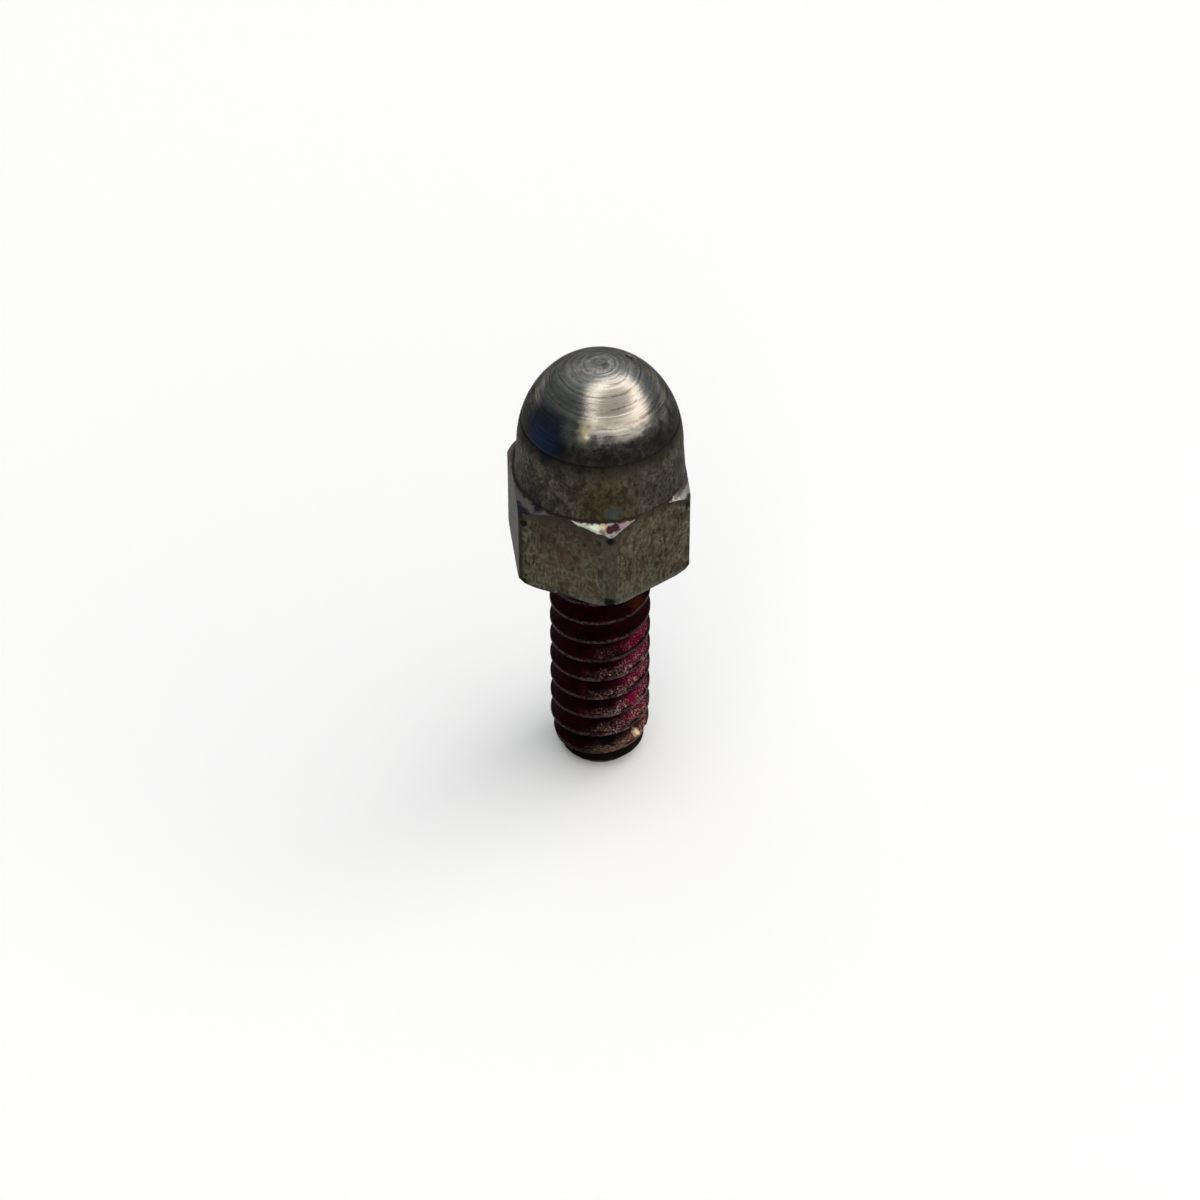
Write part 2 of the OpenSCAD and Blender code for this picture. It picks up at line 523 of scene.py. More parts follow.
class Surface:
    """One finish of the bolt. Its patterns read the place on the bolt, the distance from the axis
    and the height above the end face, all in millimetres."""

    def __init__(self, name):
        self.material = bpy.data.materials.new(name)
        self.material.use_nodes = True
        self.tree = self.material.node_tree
        self.shader = self.tree.nodes["Principled BSDF"]
        origin = self.add("ShaderNodeTexCoord").outputs["Object"]
        scaled = self.add("ShaderNodeVectorMath", {0: origin, 3: 1 / MM}, operation="SCALE")
        self.place = scaled.outputs[0]
        self.height = self.add("ShaderNodeSeparateXYZ", {0: self.place}).outputs[2]
        flat = self.add("ShaderNodeVectorMath", {0: self.place, 1: (1, 1, 0)}, operation="MULTIPLY")
        self.flat = flat.outputs[0]
        length = self.add("ShaderNodeVectorMath", {0: self.flat}, operation="LENGTH")
        self.radius = length.outputs["Value"]

    def add(self, kind, inputs=None, **settings):
        """Adds a node to this finish."""
        return add(self.tree, kind, inputs, **settings)

    def lumps(self, size, low, high, stretch=(1, 1, 1), detail=3, seed=0):
        """Patches about size millimetres across, drawn out along each axis by stretch. The share
        is 0 where the noise is under low and 1 where it is over high."""
        scale = tuple(1 / (size * factor) for factor in stretch)
        moved = self.add("ShaderNodeMapping", {0: self.place, 1: (seed * 3.7, seed, 0), 3: scale})
        pattern = self.add(
            "ShaderNodeTexNoise", {"Vector": moved.outputs[0], "Scale": 1, "Detail": detail}
        )
        share = self.add("ShaderNodeMapRange", {0: pattern.outputs[0], 1: low, 2: high}, **SMOOTH)
        return share.outputs[0]

    def rising(self, value, start, full, still=None, end=None):
        """The share that grows from 0 at start to 1 at full, or falls where full is below start.
        Where still and end are given, it goes back from 1 at still to 0 at end."""
        limits = {0: value, 1: start, 2: full}
        grown = self.add("ShaderNodeMapRange", limits, **SMOOTH).outputs[0]
        return grown if end is None else self.times(grown, self.rising(value, end, still))

    def times(self, first, *others):
        """The product of two or more shares."""
        for other in others:
            step = {0: first, 1: other}
            first = self.add("ShaderNodeMath", step, operation="MULTIPLY").outputs[0]
        return first

    def shifted(self, value, patterns):
        """A value with patterns added to it, each times its own amount."""
        for pattern, amount in patterns:
            step = {0: pattern, 1: amount, 2: value}
            value = self.add("ShaderNodeMath", step, operation="MULTIPLY_ADD").outputs[0]
        return value

    def near(self, centre, inner, outer, ragged=0.0):
        """A spot: 1 within inner millimetres of a point and 0 past outer, with a ragged edge."""
        spot = {0: self.place, 1: centre}
        away = self.add("ShaderNodeVectorMath", spot, operation="DISTANCE").outputs["Value"]
        if ragged:
            away = self.shifted(away, [(self.lumps(outer * 0.5, 0.2, 0.8), ragged)])
        return self.rising(away, outer, inner)

    def beside(self, centre, inner, outer):
        """The same share round an upright line, at every height."""
        line = {0: self.flat, 1: (centre.x, centre.y, 0)}
        away = self.add("ShaderNodeVectorMath", line, operation="DISTANCE").outputs["Value"]
        return self.rising(away, outer, inner)

    def spots(self, rows):
        """Spots from rows of a place, its inner and outer reach, and how ragged its edge is."""
        return [self.near(at(*place), inner, outer, ragged) for place, inner, outer, ragged in rows]

    def colours(self, base, layers):
        """Lays colours over a base one after another, each by its own share."""
        for share, code in layers:
            inputs = {0: share, 6: base, 7: linear(code)}
            base = self.add("ShaderNodeMix", inputs, data_type="RGBA").outputs[2]
        return base

    def levels(self, base, layers):
        """Lays values over a base one after another, each by its own share."""
        for share, value in layers:
            base = self.add("ShaderNodeMix", {0: share, 2: base, 3: value}).outputs[0]
        return base

    def relief(self, layers):
        """Adds up heights in millimetres, each from its own share."""
        total = self.shifted(0.0, layers)
        return self.add("ShaderNodeBump", {"Height": total, "Distance": MM}).outputs[0]

    def finish(self, **inputs):
        """Sets or links the shader's own sockets and returns the material."""
        for name, value in inputs.items():
            socket = self.shader.inputs[name.replace("_", " ")]
            if isinstance(value, bpy.types.NodeSocket):
                self.tree.links.new(value, socket)
            else:
                socket.default_value = value
        return self.material


# Turned steel: the lathe's fine rings stay as bright and dark lines round the pole. The top is
# scuffed, its crown painted lighter as a reflection and a paler patch painted as a highlight. A
# blue patch and a yellow one are painted reflections, and the lower edge is painted dark as a
# reflection of dark ground, mottled with dirt.
def turned_dome():
    dome = Surface("turned_steel_dome")
    rise = dome.add("ShaderNodeMath", {0: dome.height, 1: DOME_Z}, operation="SUBTRACT").outputs[0]
    lift = dome.add("ShaderNodeMath", {0: rise, 1: dome.radius}, operation="ARCTAN2").outputs[0]
    # Millimetres along the dome, with rings that wander a little, and more round the pole.
    wander = dome.lumps(2.0, 0.2, 0.8, detail=2)
    swirl = dome.lumps(0.9, 0.25, 0.75, detail=3, seed=19)
    swirl = dome.times(swirl, dome.near((0, 0, TOP_Z), 0.6, 1.7))
    travel = dome.shifted(0.0, [(wander, 0.2), (lift, DOME_ROUND_R), (swirl, 0.3)])
    rings = []
    for spacing, low, high in ((0.08, 0.3, 0.7), (0.3, 0.4, 0.6), (0.16, 0.58, 0.68)):
        ring = {"W": travel, "Scale": 1 / spacing, "Detail": 1}
        ring = dome.add("ShaderNodeTexNoise", ring, noise_dimensions="1D").outputs[0]
        rings.append(dome.rising(ring, low, high))
    fine, broad, scratches = rings
    grain = dome.lumps(0.11, 0.3, 0.7, detail=3)
    smears = dome.lumps(0.8, 0.38, 0.62, detail=4)
    tan_smears = dome.lumps(0.45, 0.48, 0.7, detail=3, seed=6)
    patchy = dome.times(scratches, dome.lumps(0.7, 0.4, 0.6, seed=2))
    # The lower band is painted dark as the dome's reflection of dark ground, mottled with dirt, and
    # the lower sides are painted darker as the same reflection.
    dirt_and_dark_reflection = dome.rising(dome.shifted(dome.height, [(smears, 0.5)]), 27.75, 26.5)
    painted_dark_lower_side = dome.rising(dome.height, 28.2, 26.9)
    pole = dome.near((0, 0, TOP_Z), 0.3, 2.1, ragged=0.9)
    # The crown is painted lighter, as a reflection of the light high up behind the bolt.
    painted_light_crown = dome.near((0, 0, TOP_Z), 1.5, 3.2)
    pip = dome.near((0, 0, TOP_Z), 0.02, 0.3, ragged=0.2)
    # A paler patch is a painted highlight where the softbox's reflection falls.
    rubbed_and_highlit = dome.near(at(-72, 2.95, 28.3), 1.2, 2.8, ragged=0.6)
    # A dark blue patch, deepest in its core, is a painted reflection.
    painted_blue_reflection = dome.near(at(-149, 4.1, 26.6), 1.4, 2.9, ragged=0.8)
    painted_blue_reflection_core = dome.near(at(-148, 4.2, 26.4), 0.8, 2.3, ragged=0.7)
    sooty = dome.lumps(0.42, 0.42, 0.6, (1, 1, 1.4), detail=4, seed=12)
    # A tan patch, a yellow tint above it and a paler spot are painted reflections of a yellow thing.
    tan = dome.near(at(-110.5, 3.78, 27.28), 0.05, 0.85, ragged=0.35)
    painted_yellow_reflection = dome.near(at(-111.5, 3.5, 27.7), 0.1, 0.85, ragged=0.35)
    painted_pale_reflection = dome.near(at(-108.5, 3.87, 27.15), 0.06, 0.3, ragged=0.1)
    nick = dome.near(at(31, 2.2, 28.83), 0.25, DOME_NICK_R, ragged=0.1)
    arcs = [
        (dome.rising(dome.height, 28.64, 28.74, 28.8, 28.9), 0.3),
        (dome.rising(dome.height, 27.5, 27.6, 27.66, 27.76), 0.5),
        (dome.rising(dome.height, 28.12, 28.22, 28.28, 28.38), 0.3),
    ]
    broken = dome.times(dome.lumps(0.9, 0.35, 0.6, seed=4), dome.beside(at(-80, 3.4, 0), 1.6, 3.4))
    colour = dome.colours(
        linear("#8e8d8a"),
        [
            (fine, "#b2b0a8"),
            (dome.times(painted_light_crown, 0.5), "#c3c1bd"),
            (dome.times(broad, 0.7), "#6d6c69"),
            (dome.times(smears, 0.5), "#7c7c7c"),
            (dome.times(tan_smears, 0.35), "#b6a686"),
            (dome.times(grain, 0.4), "#6b6867"),
            (dome.times(pole, tan_smears, 0.8), "#e2d8bf"),
            (dome.times(pole, broad, 0.3), "#6c6759"),
            (dome.times(pip, 0.6), "#6b6350"),
            (dome.times(rubbed_and_highlit, 0.6), "#c9bfae"),
            (dome.times(patchy, 0.6), "#544b41"),
        ]
        + [(dome.times(arc, dome.times(broken, share)), "#5e4238") for arc, share in arcs]
        + [
            (dome.times(painted_dark_lower_side, 0.5), "#4c4b4a"),
            (dome.times(dirt_and_dark_reflection, 0.95), "#21201c"),
            (dome.times(dirt_and_dark_reflection, tan_smears, 0.6), "#3e3b35"),
            (dome.times(dirt_and_dark_reflection, grain, 0.4), "#0d0c09"),
            (dome.times(dirt_and_dark_reflection, sooty, 0.55), "#0c0807"),
            (dome.times(painted_yellow_reflection, dome.levels(0.8, [(fine, 0.5)])), "#cfc49c"),
            (dome.times(tan, 0.9), "#beb391"),
            (dome.times(painted_pale_reflection, 0.9), "#e7e1c5"),
            (dome.times(painted_blue_reflection, 0.9), "#0c1119"),
            (dome.times(painted_blue_reflection_core, 0.35), "#17263f"),
            (dome.times(painted_blue_reflection_core, broad, 0.45), "#1c304e"),
            (nick, "#050505"),
        ],
    )
    rough_marks = [(grain, 0.26), (smears, 0.26), (fine, 0.26), (dirt_and_dark_reflection, 0.5), (painted_yellow_reflection, 0.32)]
    rough_marks += [(painted_blue_reflection, 0.42), (nick, 1.0)]
    dull_marks = [(dirt_and_dark_reflection, 0.5), (painted_blue_reflection, 0.5), (painted_yellow_reflection, 0.7), (tan, 0.3), (nick, 0.0)]
    heights = [(fine, 0.0006), (broad, 0.003), (scratches, -0.002), (grain, 0.0008)]
    return dome.finish(
        Base_Color=colour,
        Metallic=dome.levels(1.0, dull_marks),
        Roughness=dome.levels(0.17, rough_marks),
        Normal=dome.relief(heights),
        Specular_Tint=linear("#808080"),
        Specular_IOR_Level=0.15,
    )


def dulled_plate(plate):
    """The patterns that the hexagon and shoulder share."""
    clusters = plate.lumps(1.1, 0.4, 0.58, detail=3, seed=13)
    return {
        "mottle": plate.lumps(0.2, 0.26, 0.74, (1, 1, 1.3), detail=5),
        "cloud": plate.lumps(1.7, 0.38, 0.6, detail=3, seed=15),
        "blotch": plate.lumps(0.5, 0.5, 0.62, (1, 1, 1.7), detail=5, seed=5),
        "streak": plate.times(plate.lumps(0.15, 0.5, 0.62, (1, 1, 5), detail=3, seed=3), clusters),
        "speck": plate.times(plate.lumps(0.13, 0.55, 0.7, detail=3, seed=7), clusters),
        "pit": plate.lumps(0.28, 0.66, 0.72, detail=2, seed=9),
    }


# Dark nicks and pits in the hexagon: degrees, radius and height, inner and outer reach, raggedness.
HEXAGON_NICKS = [
    ((-91.5, 5.75, 20.97), 0.25, 0.55, 0.2),
    ((-147.6, 5.7, 20.63), 0.2, 0.36, 0.08),
    ((-32, 5.7, 21.0), 0.25, 0.6, 0.2),
    ((-92, 5.7, 16.3), 0.3, 0.6, 0.2),
    ((-148, 5.7, 16.3), 0.1, 0.5, 0.3),
    ((-33, 5.7, 16.3), 0.2, 0.55, 0.2),
    ((-114, 5.0, 19.1), 0.05, 0.35, 0.2),
    ((-117.5, 5.0, 18.55), 0.02, 0.3, 0.2),
    ((-117, 5.0, 18.1), 0.02, 0.3, 0.2),
    ((-98, 5.3, 20.6), 0.02, 0.55, 0.4),
    ((-107, 5.1, 20.2), 0.05, 0.3, 0.15),
    ((-57, 5.0, 17.6), 0.05, 0.4, 0.2),
    ((-43, 5.2, 16.7), 0.04, 0.2, 0.05),
    ((30, 5.7, 20.9), 0.1, 0.36, 0.1),
    ((86, 5.6, 16.3), 0.1, 0.3, 0.1),
]


# Zinc-plated bar, gone dull: the plating has greyed and stained brown, with faint lengthwise
# streaks from drawing the bar, dark nicked corners and a rubbed, greyer lower edge. One flat is
# paler than the rest, and one place on the upper edge is rubbed bare and white. The upper left
# and a band close under the chamfer's rim are painted darker as shade.
def dull_hexagon():
    plate = Surface("dull_plated_hexagon")
    cover = dulled_plate(plate)
    ragged = plate.shifted(plate.height, [(cover["mottle"], 0.3)])
    low = plate.rising(ragged, SEAT_Z + 0.65, SEAT_Z + 0.2)
    # How high a place is on the cone of the top chamfer: a painted shadow darkens the flats
    # close under its rim.
    over = plate.shifted(plate.height, [(cover["mottle"], 0.25), (plate.radius, TOP_CHAMFER_SLOPE)])
    rim = HEX_TOP_Z + TOP_CHAMFER_SLOPE * FOOT_R
    painted_shadow_under_rim = plate.rising(over, rim - 0.55, rim + 0.1)
    # A rubbed, bare edge that is widest at one place and thins out to both sides.
    widest = plate.beside(at(-106, 5.2, 0), 0.5, 1.3)
    rubbed_and_highlit = plate.shifted(over, [(widest, 0.28), (cover["mottle"], -0.17)])
    bare_edge = plate.rising(rubbed_and_highlit, rim + 0.09, rim + 0.14)
    upper = plate.rising(plate.height, SEAT_Z + 3.0, HEX_TOP_Z - 0.6)
    # The upper left of the flats is painted darker as shade.
    shaded_left = plate.beside(at(-120, 5.2, 0), 1.6, 3.2)
    left_corner = plate.beside(at(-150, 5.75, 0) + BAR_OFFSET, 0.1, 0.45)
    stain = plate.near(at(155, 5.6, 21.1), 0.6, 1.5, ragged=0.6)
    rusty = plate.near(at(-121, 5.0, 18.9), 0.3, 1.7, ragged=0.8)
    low_left = plate.times(
        plate.rising(ragged, SEAT_Z + 0.5, SEAT_Z + 0.22),
        plate.beside(at(-138, 5.4, 0), 1.7, 3.2),
    )
    middle_corner = plate.beside(at(-90, 5.7, 0) + BAR_OFFSET, 0.2, 0.6)
    far_face = plate.beside(at(180, 5.0, 0) + BAR_OFFSET, 2.3, 2.9)
    rough_face = plate.times(far_face, plate.lumps(0.4, 0.4, 0.62, (1, 3, 1), detail=5, seed=17))
    nicked = plate.levels(0.0, [(nick, 1.0) for nick in plate.spots(HEXAGON_NICKS)])
    colour = plate.colours(
        linear("#38342a"),
        [
            (cover["mottle"], "#6a6654"),
            (plate.times(cover["cloud"], 0.4), "#433d30"),
            (plate.times(upper, shaded_left, 0.75), "#363128"),
            (plate.times(cover["blotch"], 0.62), "#36291f"),
            (plate.times(cover["streak"], 0.75), "#231a12"),
            (plate.times(rusty, 0.45), "#4d3a25"),
            (plate.times(painted_shadow_under_rim, 0.7), "#2d2d25"),
            (plate.times(low, 0.45), "#5e6361"),
            (plate.times(bare_edge, 0.92), "#c3c8b5"),
            (plate.times(middle_corner, 0.55), "#3a3934"),
            (plate.times(left_corner, 0.7), "#181510"),
            (plate.times(low_left, 0.85), "#12100c"),
            (plate.times(far_face, 0.7), "#767672"),
            (plate.times(cover["speck"], 0.6), "#221b12"),
            (plate.times(rough_face, 0.45), "#454440"),
            (plate.times(cover["pit"], 0.8), "#16100b"),
            (plate.times(stain, 0.85), "#18100c"),
            (nicked, "#050403"),
        ],
    )
    roughness = plate.levels(0.5, [(cover["mottle"], 0.58), (cover["streak"], 0.42), (low, 0.4)])
    relief = plate.relief(
        [(cover["mottle"], 0.004), (cover["speck"], -0.01), (cover["pit"], -0.02), (nicked, -0.04)]
    )
    return plate.finish(
        Base_Color=colour,
        Metallic=plate.levels(0.55, [(bare_edge, 0.1), (nicked, 0.0)]),
        Roughness=roughness,
        Normal=relief,
        Specular_Tint=linear("#808080"),
        Specular_IOR_Level=0.1,
    )


# Stains on the shoulder: a spot as in the table of the hexagon, then its strength and colour.
SHOULDER_STAINS = [
    (((-125, 4.8, 24.6), 0.2, 0.95, 0.5), 0.65, "#181510"),
    (((-112, 4.7, 25.2), 0.2, 0.9, 0.5), 0.6, "#181510"),
    (((-97, 4.5, 25.9), 0.2, 0.9, 0.5), 0.6, "#0f0c09"),
    (((-126, 4.9, 22.9), 0.1, 0.55, 0.4), 0.7, "#100c08"),
    (((-117, 4.9, 23.2), 0.1, 0.5, 0.4), 0.6, "#160f08"),
    (((-134, 4.9, 23.6), 0.2, 0.9, 0.6), 0.5, "#332522"),
    (((-124, 4.85, 23.9), 0.1, 0.8, 0.5), 0.55, "#191510"),
    (((-88.5, 4.95, 22.35), 0.1, 0.95, 0.4), 0.65, "#444e53"),
    (((-140, 4.65, 25.5), 0.3, 1.1, 0.5), 0.8, "#10161f"),
]


# The same dull plating on the turned shoulder, browner in front and black with dirt towards the
# dome, with painted shade along the crease at its foot. The shallow ring cut over it is filled
# with dirt and hardly shows.
def dull_shoulder():
    plate = Surface("dull_plated_shoulder")
    cover = dulled_plate(plate)
    front = plate.near(at(-95, 5.2, 22.8), 0.8, 3.6, ragged=0.8)
    ragged = plate.shifted(plate.height, [(cover["mottle"], 0.35)])
    stain = plate.rising(ragged, 24.5, 25.75)
    ring = plate.rising(plate.height, RING_Z - 0.2, RING_Z - 0.05, RING_Z + 0.1, RING_Z + 0.25)
    shade = plate.near(at(-150, 5.0, 22.0), 0.5, 2.2, ragged=0.6)
    # The crease at the foot is painted dark as shade.
    uneven_height = plate.shifted(plate.height, [(cover["mottle"], 0.05)])
    painted_crease_shade = plate.rising(uneven_height, HEX_TOP_Z + 0.12, HEX_TOP_Z + 0.02)
    rust = plate.times(painted_crease_shade, plate.beside(at(-62, 5.0, 0), 1.4, 3.4))
    colour = plate.colours(
        linear("#2d2a24"),
        [
            (cover["mottle"], "#656153"),
            (plate.times(front, 0.78), "#3b321d"),
            (plate.times(cover["cloud"], 0.5), "#2a271f"),
            (plate.times(front, cover["mottle"], 0.35), "#554b30"),
            (plate.times(front, cover["speck"], 0.7), "#20190e"),
            (plate.times(cover["blotch"], 0.6), "#201813"),
            (plate.times(cover["streak"], 0.3), "#282118"),
            (plate.times(cover["speck"], 0.6), "#19140e"),
            (plate.times(cover["pit"], 0.6), "#130d08"),
            (plate.times(stain, 0.8), "#191613"),
            (plate.times(shade, 0.6), "#181b21"),
            (plate.times(ring, 0.5), "#100e0d"),
        ]
        + [
            (plate.times(plate.spots([spot])[0], share), code)
            for spot, share, code in SHOULDER_STAINS
        ]
        + [
            (plate.times(painted_crease_shade, 0.75), "#0e0907"),
            (plate.times(rust, 0.6), "#45210d"),
        ],
    )
    roughness = plate.levels(0.5, [(cover["mottle"], 0.56), (cover["streak"], 0.45)])
    relief = plate.relief([(cover["mottle"], 0.005), (cover["speck"], -0.008)])
    return plate.finish(
        Base_Color=colour,
        Metallic=0.5,
        Roughness=roughness,
        Normal=relief,
        Specular_Tint=linear("#808080"),
        Specular_IOR_Level=0.1,
    )


# Bare steel where the lathe cut the hexagon's corners: bright, with dirt along the shoulder's foot,
# a fleck of red thread-locker among faint tints on the front corner, and painted shade, dark and
# bluish, on the left corner.
def bright_chamfer():
    cut = Surface("bright_turned_chamfer")
    grain = cut.lumps(0.2, 0.35, 0.65, detail=3)
    marks = {"W": cut.shifted(cut.radius, [(grain, 0.05)]), "Scale": 14, "Detail": 1}
    marks = cut.add("ShaderNodeTexNoise", marks, noise_dimensions="1D").outputs[0]
    marks = cut.rising(marks, 0.4, 0.62)
    # The dirt is a broad line along the foot, and a thin one at the three front corners.
    clean = cut.beside(at(-30, 5.4, 0), 0.9, 1.7)
    clean = cut.levels(clean, [(cut.beside(at(-150, 5.4, 0), 0.9, 1.7), 1.0)])
    clean = cut.levels(clean, [(cut.beside(at(-94, 5.3, 0), 1.3, 2.2), 0.25)])
    inner = cut.shifted(cut.radius, [(grain, -0.06), (clean, 0.13)])
    dirt_and_dark_reflection = cut.rising(inner, FOOT_R + 0.19, FOOT_R + 0.08)
    right = cut.beside(at(-28, 5.4, 0), 0.7, 1.6)
    brown = cut.times(cut.rising(cut.shifted(cut.radius, [(grain, -0.06)]), 5.24, 5.1), right)
    edge = cut.times(cut.rising(cut.shifted(cut.radius, [(grain, 0.08)]), 5.44, 5.54), right)
    # The left corner is painted dark as shade, and a navy painted shade lies by the shoulder's foot.
    shaded_left = cut.near(at(-150, 5.4, 21.5), 1.3, 2.1, ragged=0.3)
    streak = cut.rising(cut.shifted(cut.radius, [(grain, 0.1)]), 5.1, 5.2, 5.4, 5.56)
    painted_shade_wedge = cut.near(at(-141.5, 5.08, 21.77), 0.2, 0.55, ragged=0.15)
    grey_end = cut.near(at(-132, 5.15, 21.7), 0.5, 1.0, ragged=0.2)
    line = cut.times(
        cut.rising(cut.radius, 5.64, 5.69, 5.73, 5.78), cut.near(at(-143, 5.7, 21.25), 0.25, 0.6)
    )
    fleck = cut.near(at(-87.8, 5.27, 21.62), 0.25, 0.41, ragged=0.14)
    tail = cut.near(at(-91.4, 5.35, 21.55), 0.21, 0.34, ragged=0.08)
    stain = cut.near(at(157, 5.35, 21.6), 0.9, 1.7, ragged=0.5)
    pink = cut.near(at(-83, 5.2, 21.7), 0.1, 0.4, ragged=0.12)
    green = cut.near(at(-101, 5.17, 21.72), 0.15, 0.6, ragged=0.1)
    tan = cut.near(at(-95, 5.25, 21.65), 0.1, 0.4, ragged=0.1)
    dull_tip = cut.near(at(-91, 5.78, 21.18), 0.14, 0.36, ragged=0.15)
    smear = cut.near(at(-96, 5.5, 21.43), 0.12, 0.42, ragged=0.15)
    colour = cut.colours(
        linear("#aba7a0"),
        [
            (cut.times(grain, 0.5), "#827e78"),
            (cut.times(marks, 0.5), "#6b6964"),
            (cut.times(green, 0.7), "#d7e1cf"),
            (cut.times(tan, 0.6), "#cfba88"),
            (cut.times(pink, 0.7), "#a0788c"),
            (cut.times(dull_tip, 0.85), "#34322e"),
            (cut.times(smear, 0.7), "#574a46"),
            (shaded_left, "#302f37"),
            (cut.times(grey_end, 0.8), "#67676a"),
            (cut.times(shaded_left, cut.times(streak, 0.85)), "#7d7271"),
            (cut.times(painted_shade_wedge, 0.9), "#121726"),
            (line, "#afacb2"),
            (cut.times(brown, 0.8), "#3e2e22"),
            (cut.times(edge, 0.85), "#262320"),
            (cut.times(stain, 0.9), "#2e2421"),
            (cut.times(stain, grain, 0.6), "#5d4d49"),
            (fleck, "#300312"),
            (tail, "#300312"),
            (dirt_and_dark_reflection, "#201104"),
        ],
    )
    roughness = cut.levels(0.3, [(grain, 0.4), (dirt_and_dark_reflection, 0.6), (fleck, 0.5), (tail, 0.5), (stain, 0.7)])
    metallic = cut.levels(1.0, [(shaded_left, 0.6), (dirt_and_dark_reflection, 0.0), (fleck, 0.0), (tail, 0.0), (stain, 0.0)])
    return cut.finish(
        Base_Color=colour,
        Metallic=metallic,
        Roughness=roughness,
        Normal=cut.relief([(grain, 0.004), (marks, 0.003)]),
        Specular_IOR_Level=0.2,
    )


# Painted glints of light on the thread, and black pits, each as in the table of the hexagon.
THREAD_GLINTS = [
    ((-45, 2.75, 2.2), 0.15, 0.5, 0.25),
    ((-57.5, 2.9, 8.2), 0.05, 0.2, 0.05),
    ((-51.4, 2.8, 8.5), 0.08, 0.3, 0.15),
    ((-75.8, 2.9, 3.6), 0.04, 0.16, 0.04),
]
THREAD_PITS = [
    ((-29.3, 2.75, 6.5), 0.12, 0.3, 0.05),
    ((-47, 2.75, 8.0), 0.12, 0.28, 0.05),
    ((-100, 2.95, 3.4), 0.1, 0.3, 0.1),
]


# Rolled steel thread under a dried film of red thread-locker: almost black in the roots, and darker
# still, as painted shade, in the roots of the last turns. The film is painted crimson and pink on
# the right as light falling on that side. It is rubbed through to speckled metal on the outer flanks
# of the lower turns, shown only on the painted lit side, and along the crests.
def locked_thread():
    thread = Surface("thread_locker_on_steel_thread")
    powder = thread.lumps(0.08, 0.45, 0.73, detail=3)
    chips = thread.lumps(0.12, 0.5, 0.68, detail=3, seed=8)
    patches = thread.lumps(0.7, 0.44, 0.6, detail=3, seed=2)
    broad = thread.lumps(0.9, 0.4, 0.6, detail=3, seed=11)
    # The film is painted crimson and pink on the right, as light falling on that side.
    painted_light_right = thread.beside(at(-35, 3.2, 0), 0.8, 2.4)
    dim_side = thread.beside(at(165, 3.2, 0), 1.5, 3.8)
    flank = thread.rising(thread.radius, STUD_R - 0.75, STUD_R - 0.5, STUD_R - 0.2, STUD_R - 0.08)
    wander = thread.shifted(thread.radius, [(broad, 0.25)])
    outer = thread.rising(wander, STUD_R - 0.42, STUD_R - 0.12, STUD_R + 0.1, STUD_R + 0.16)
    top = thread.rising(thread.radius, STUD_R - 0.06, STUD_R - 0.01)
    crest = thread.times(top, thread.lumps(0.16, 0.34, 0.64, detail=3, seed=21))
    rubbed_and_highlit = thread.times(
        thread.lumps(0.8, 0.36, 0.6, detail=3, seed=23), thread.beside(at(-108, 3.0, 0), 1.2, 3.6)
    )
    crest = thread.times(crest, thread.levels(0.45, [(rubbed_and_highlit, 1.0)]))
    lower = thread.rising(thread.shifted(thread.height, [(broad, -1.5)]), 9.5, 7.0)
    # The rubbed metal of the lower turns is shown only on the front and right, painted as the lit
    # side.
    painted_light_front = thread.beside(at(-58, 3.2, 0), 0.8, 3.5)
    ragged = thread.levels(0.55, [(thread.lumps(0.45, 0.38, 0.55, detail=3, seed=16), 1.0)])
    worn_and_painted_lit = thread.times(outer, lower, thread.times(painted_light_front, ragged))
    bare_end_painted_lit = thread.times(thread.rising(thread.height, 4.6, 1.6), worn_and_painted_lit)
    rust = thread.near(at(-45, 2.9, 13.0), 0.4, 1.2, ragged=0.4)
    oil = thread.rising(thread.shifted(thread.height, [(patches, 0.5)]), 2.1, 1.2)
    # The roots of the last turns are painted darker as shade.
    painted_root_shade = thread.times(
        thread.rising(thread.height, 3.6, 2.2), thread.rising(thread.radius, 2.75, 2.5)
    )
    red_spot = thread.near(at(-52.6, 2.75, 5.2), 0.3, 0.65, ragged=0.3)
    painted_lit_crimson = thread.times(painted_light_right, flank, thread.rising(thread.height, 11.0, 10.5))
    colour = thread.colours(
        linear("#110002"),
        [
            (thread.times(patches, 0.65), "#250009"),
            (thread.times(dim_side, 0.7), "#230212"),
            (painted_lit_crimson, "#4e061e"),
            (thread.times(painted_lit_crimson, chips, 0.55), "#a34b74"),
            (thread.times(worn_and_painted_lit, powder, 0.8), "#7f6963"),
            (thread.times(worn_and_painted_lit, chips, 0.6), "#bd978e"),
            (thread.times(bare_end_painted_lit, broad, 0.6), "#62503a"),
            (thread.times(crest, 0.7), "#4c403f"),
            (thread.times(red_spot, 0.9), "#660a28"),
            (thread.times(rust, 0.8), "#3d1905"),
            (thread.times(painted_root_shade, 0.8), "#0a0806"),
            (thread.times(oil, 0.85), "#130f0d"),
        ]
        + [(thread.times(glint, 0.9), "#f7dcad") for glint in thread.spots(THREAD_GLINTS)]
        + [(pit, "#060404") for pit in thread.spots(THREAD_PITS)],
    )
    metallic = thread.levels(0.0, [(worn_and_painted_lit, 0.35), (crest, 0.5)])
    roughness = thread.levels(0.45, [(worn_and_painted_lit, 0.5), (top, 0.42)])
    relief = thread.relief([(powder, 0.012), (patches, 0.02), (chips, 0.01)])
    return thread.finish(
        Base_Color=colour,
        Metallic=metallic,
        Roughness=roughness,
        Normal=relief,
        Specular_IOR_Level=0.02,
    )


